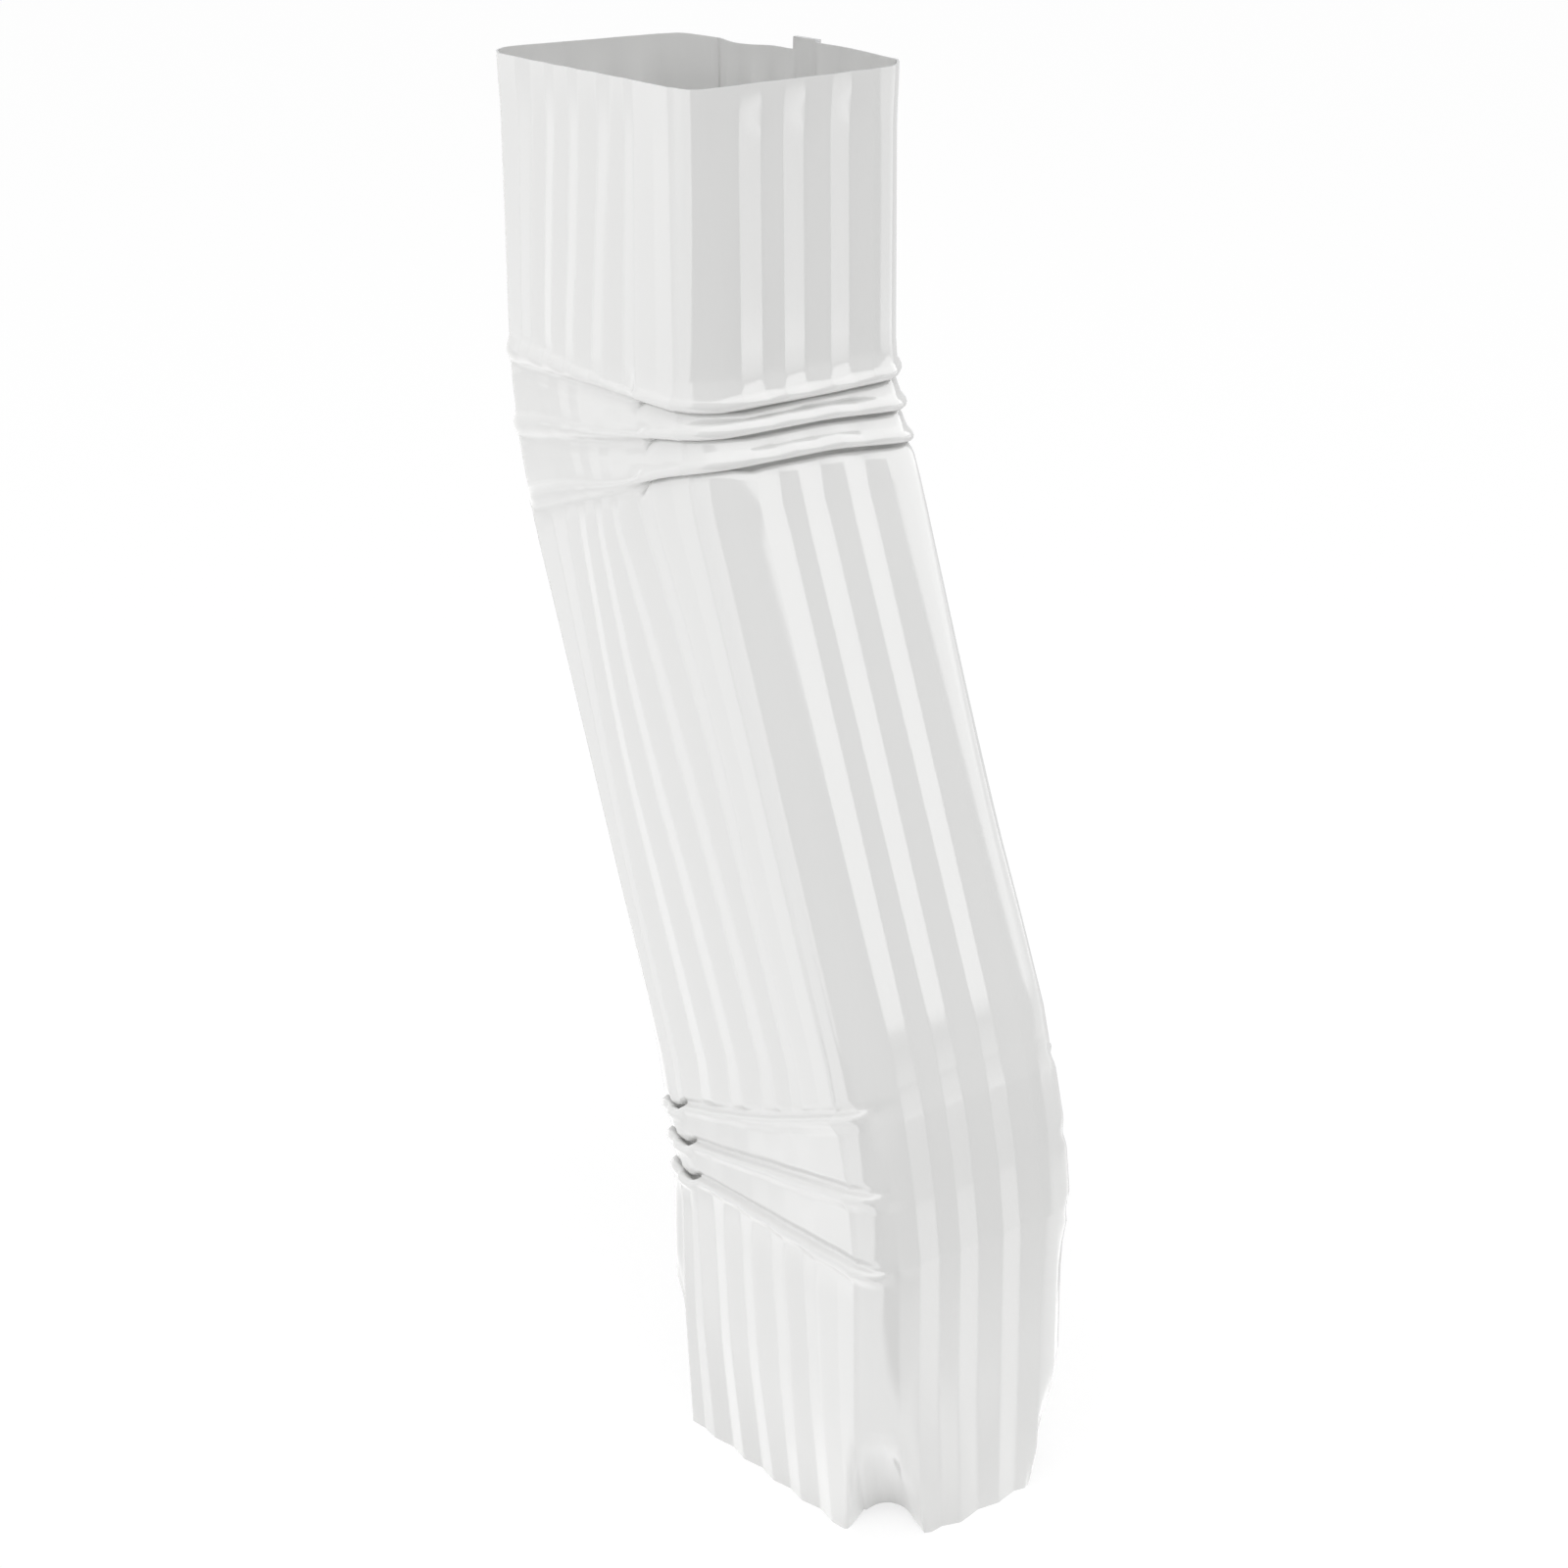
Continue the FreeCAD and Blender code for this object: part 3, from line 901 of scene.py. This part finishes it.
def surroundings(tree, place, studio, gap, left, right, right_level, glow=None):
    """The brightness that the gloss sees in each direction."""
    plain = combine(
        tree, "MAXIMUM",
        ramp(tree, wedge(tree, place, BACK_HALF), 0, 1, gap, BACK_LIGHT),
        ramp(tree, wedge(tree, place, LEFT_SCREEN), 0, 1, 0, SCREEN_LIGHT),
    )
    if glow:
        plain = combine(tree, "MAXIMUM", plain, glow)
    panels = combine(tree, "MAXIMUM", left, right)
    rest = combine(tree, "MULTIPLY", plain, ramp(tree, panels, 0, 1, 1, 0))
    left_light = ramp(tree, left, 0, 1, 0, studio["left_panel"])
    right_light = combine(tree, "MULTIPLY", right, ramp(tree, right_level, 0, 1, 0, studio["right_panel"]))
    return combine(tree, "ADD", rest, combine(tree, "MAXIMUM", left_light, right_light))


def floor_material(studio):
    """A matt white table. The gloss of the object sees panels on it, and the camera sees it white."""
    material, tree = new_material("matt_white_table")
    coords = add_node(tree, "ShaderNodeTexCoord")
    path = add_node(tree, "ShaderNodeLightPath")
    matt = add_node(tree, "ShaderNodeBsdfDiffuse", {"Color": (0.9, 0.9, 0.9, 1)})
    white = add_node(tree, "ShaderNodeEmission", {"Strength": studio["table"]})
    seen = add_node(
        tree, "ShaderNodeMixShader", {0: TABLE_WHITE}, {1: matt.outputs["BSDF"], 2: white.outputs["Emission"]}
    )
    plain = add_node(
        tree, "ShaderNodeMixShader",
        links={0: path.outputs["Is Camera Ray"], 1: matt.outputs["BSDF"], 2: seen.outputs["Shader"]},
    )
    place = coords.outputs["Object"]
    distance = add_node(tree, "ShaderNodeVectorMath", {"operation": "LENGTH"}, {0: place}).outputs["Value"]
    reach = ramp(tree, distance, 0, TABLE_SPAN)
    left = wedge(tree, place, LEFT_ON_TABLE)
    right = wedge(tree, place, RIGHT_ON_TABLE)
    right_level = profile(tree, reach, [(at / TABLE_SPAN, level) for at, level in RIGHT_LEVELS])
    glow_level = profile(tree, reach, [(at / TABLE_SPAN, level) for at, level in GLOW_LEVELS])
    glow = combine(tree, "MULTIPLY", wedge(tree, place, NEAR_GLOW), glow_level)
    strength = surroundings(tree, place, studio, studio["low_gap"], left, right, right_level, glow)
    panels = add_node(tree, "ShaderNodeEmission", links={"Strength": strength})
    whole = add_node(
        tree, "ShaderNodeMixShader",
        links={0: path.outputs["Is Glossy Ray"], 1: plain.outputs["Shader"], 2: panels.outputs["Emission"]},
    )
    add_node(tree, "ShaderNodeOutputMaterial", links={"Surface": whole.outputs["Shader"]})
    return material


def light_world(studio):
    """Plain light from all round, white for the camera, with the panels for the gloss."""
    world = bpy.data.worlds.new("white_studio")
    bpy.context.scene.world = world
    world.use_nodes = True
    tree = world.node_tree
    tree.nodes.clear()
    coords = add_node(tree, "ShaderNodeTexCoord")
    path = add_node(tree, "ShaderNodeLightPath")
    plain = add_node(tree, "ShaderNodeBackground", {"Color": (1, 1, 1, 1), "Strength": studio["ambient"]})
    white = add_node(tree, "ShaderNodeBackground", {"Color": (1, 1, 1, 1), "Strength": 1.0})
    place = coords.outputs["Generated"]
    height = add_node(tree, "ShaderNodeSeparateXYZ", links={"Vector": place}).outputs["Z"]
    right_level = ramp(tree, height, 0.0, 0.07, 0.4, 1.0)
    left = wedge(tree, place, LEFT_PANEL)
    right = wedge(tree, place, RIGHT_PANEL, RIGHT_LEAN)
    strength = surroundings(tree, place, studio, studio["gap"], left, right, right_level)
    gloss = add_node(tree, "ShaderNodeBackground", {"Color": (1, 1, 1, 1)}, {"Strength": strength})
    first = add_node(
        tree, "ShaderNodeMixShader",
        links={
            0: path.outputs["Is Glossy Ray"], 1: plain.outputs["Background"], 2: gloss.outputs["Background"],
        },
    )
    second = add_node(
        tree, "ShaderNodeMixShader",
        links={0: path.outputs["Is Camera Ray"], 1: first.outputs["Shader"], 2: white.outputs["Background"]},
    )
    add_node(tree, "ShaderNodeOutputWorld", links={"Surface": second.outputs["Shader"]})


# Operators


def link_mesh(name, mesh_source, materials):
    """A new object at the origin from a bmesh, with its materials."""
    mesh = bpy.data.meshes.new(name)
    mesh_source.to_mesh(mesh)
    mesh_source.free()
    for material in materials:
        mesh.materials.append(material)
    piece = bpy.data.objects.new(name, mesh)
    bpy.context.scene.collection.objects.link(piece)
    return piece


class ELBOW_OT_sheet(bpy.types.Operator):
    """Forms the elbow's sheet, gives it its finish and puts it in the place of the plain solid"""

    bl_idname = "elbow.sheet"
    bl_label = "Form the elbow"

    def execute(self, context):
        scene = context.scene
        size = settings(scene.elbow_sizes)
        finish = settings(scene.elbow_finish)
        blank = form_sheet(size, settings(scene.elbow_crimps))
        piece = link_mesh(SHEET_NAME, blank, [baked_enamel(finish), cut_edge(finish)])
        group = piece.vertex_groups.new(name="sheet_layers")
        wall = piece.modifiers.new("sheet_thickness", "SOLIDIFY")
        wall.vertex_group = group.name
        wall.thickness = (size["sheet"] + size["seam_rise"]) * MM
        wall.offset = -1
        wall.use_even_offset = False
        wall.material_offset_rim = 1
        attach(piece, "root")
        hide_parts(NODE)
        return {"FINISHED"}


# The camera: its place in metres, which ways are right and up in its picture, and its lens in millimetres
CAMERA_PLACE = (0.54113, -0.43483, 0.43167)
CAMERA_RIGHT = (0.60634, 0.79516, -0.00860)
CAMERA_UP = (-0.27239, 0.21785, 0.93720)
LENS = 74.0


class ELBOW_OT_studio(bpy.types.Operator):
    """Sets up the table, the light and the camera"""

    bl_idname = "elbow.studio"
    bl_label = "Set up the studio"

    def execute(self, context):
        scene = context.scene
        studio = settings(scene.elbow_studio)
        light_world(studio)
        table = bmesh.new()
        bmesh.ops.create_circle(table, cap_ends=True, segments=96, radius=TABLE_RADIUS)
        floor = link_mesh("table", table, [floor_material(studio)])

        lamp = bpy.data.lights.new("overhead", "AREA")
        lamp.shape = "DISK"
        lamp.size = 1.0
        lamp.energy = studio["lamp"]
        above = bpy.data.objects.new("overhead", lamp)
        above.location = LAMP_PLACE
        above.rotation_euler = (Vector(LAMP_AIM) - above.location).to_track_quat("-Z", "Y").to_euler()
        above.visible_glossy = False
        scene.collection.objects.link(above)

        lens = bpy.data.cameras.new("view")
        lens.lens = LENS
        lens.sensor_width = 36
        right, up = Vector(CAMERA_RIGHT), Vector(CAMERA_UP)
        turn = Matrix((right, up, right.cross(up))).transposed().to_4x4()
        camera = bpy.data.objects.new("view", lens)
        camera.matrix_world = Matrix.Translation(CAMERA_PLACE) @ turn
        scene.collection.objects.link(camera)
        scene.camera = camera
        scene.view_settings.view_transform = "Standard"
        return {"FINISHED"}


class ELBOW_PT_panel(bpy.types.Panel):
    """The elbow's sizes, finish and studio"""

    bl_idname = "ELBOW_PT_panel"
    bl_label = "Downspout elbow"
    bl_space_type = "VIEW_3D"
    bl_region_type = "UI"
    bl_category = "Elbow"

    def draw(self, context):
        scene = context.scene
        for group in (scene.elbow_sizes, scene.elbow_crimps, scene.elbow_finish, scene.elbow_studio):
            box = self.layout.box()
            for name in group.__annotations__:
                box.prop(group, name)
        self.layout.operator(ELBOW_OT_sheet.bl_idname)
        self.layout.operator(ELBOW_OT_studio.bl_idname)


CLASSES = (ElbowSizes, CrimpSizes, Finish, Studio, ELBOW_OT_sheet, ELBOW_OT_studio, ELBOW_PT_panel)
GROUPS = {
    "elbow_sizes": ElbowSizes,
    "elbow_crimps": CrimpSizes,
    "elbow_finish": Finish,
    "elbow_studio": Studio,
}


def register():
    """Adds the classes and the scene's property groups."""
    for entry in CLASSES:
        bpy.utils.register_class(entry)
    for name, group in GROUPS.items():
        setattr(bpy.types.Scene, name, PointerProperty(type=group))


def unregister():
    """Takes them away again."""
    for name in GROUPS:
        delattr(bpy.types.Scene, name)
    for entry in reversed(CLASSES):
        bpy.utils.unregister_class(entry)


def main():
    """Builds the object and its studio."""
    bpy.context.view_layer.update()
    register()
    bpy.ops.elbow.sheet()
    bpy.ops.elbow.studio()


if __name__ == "__main__":
    main()
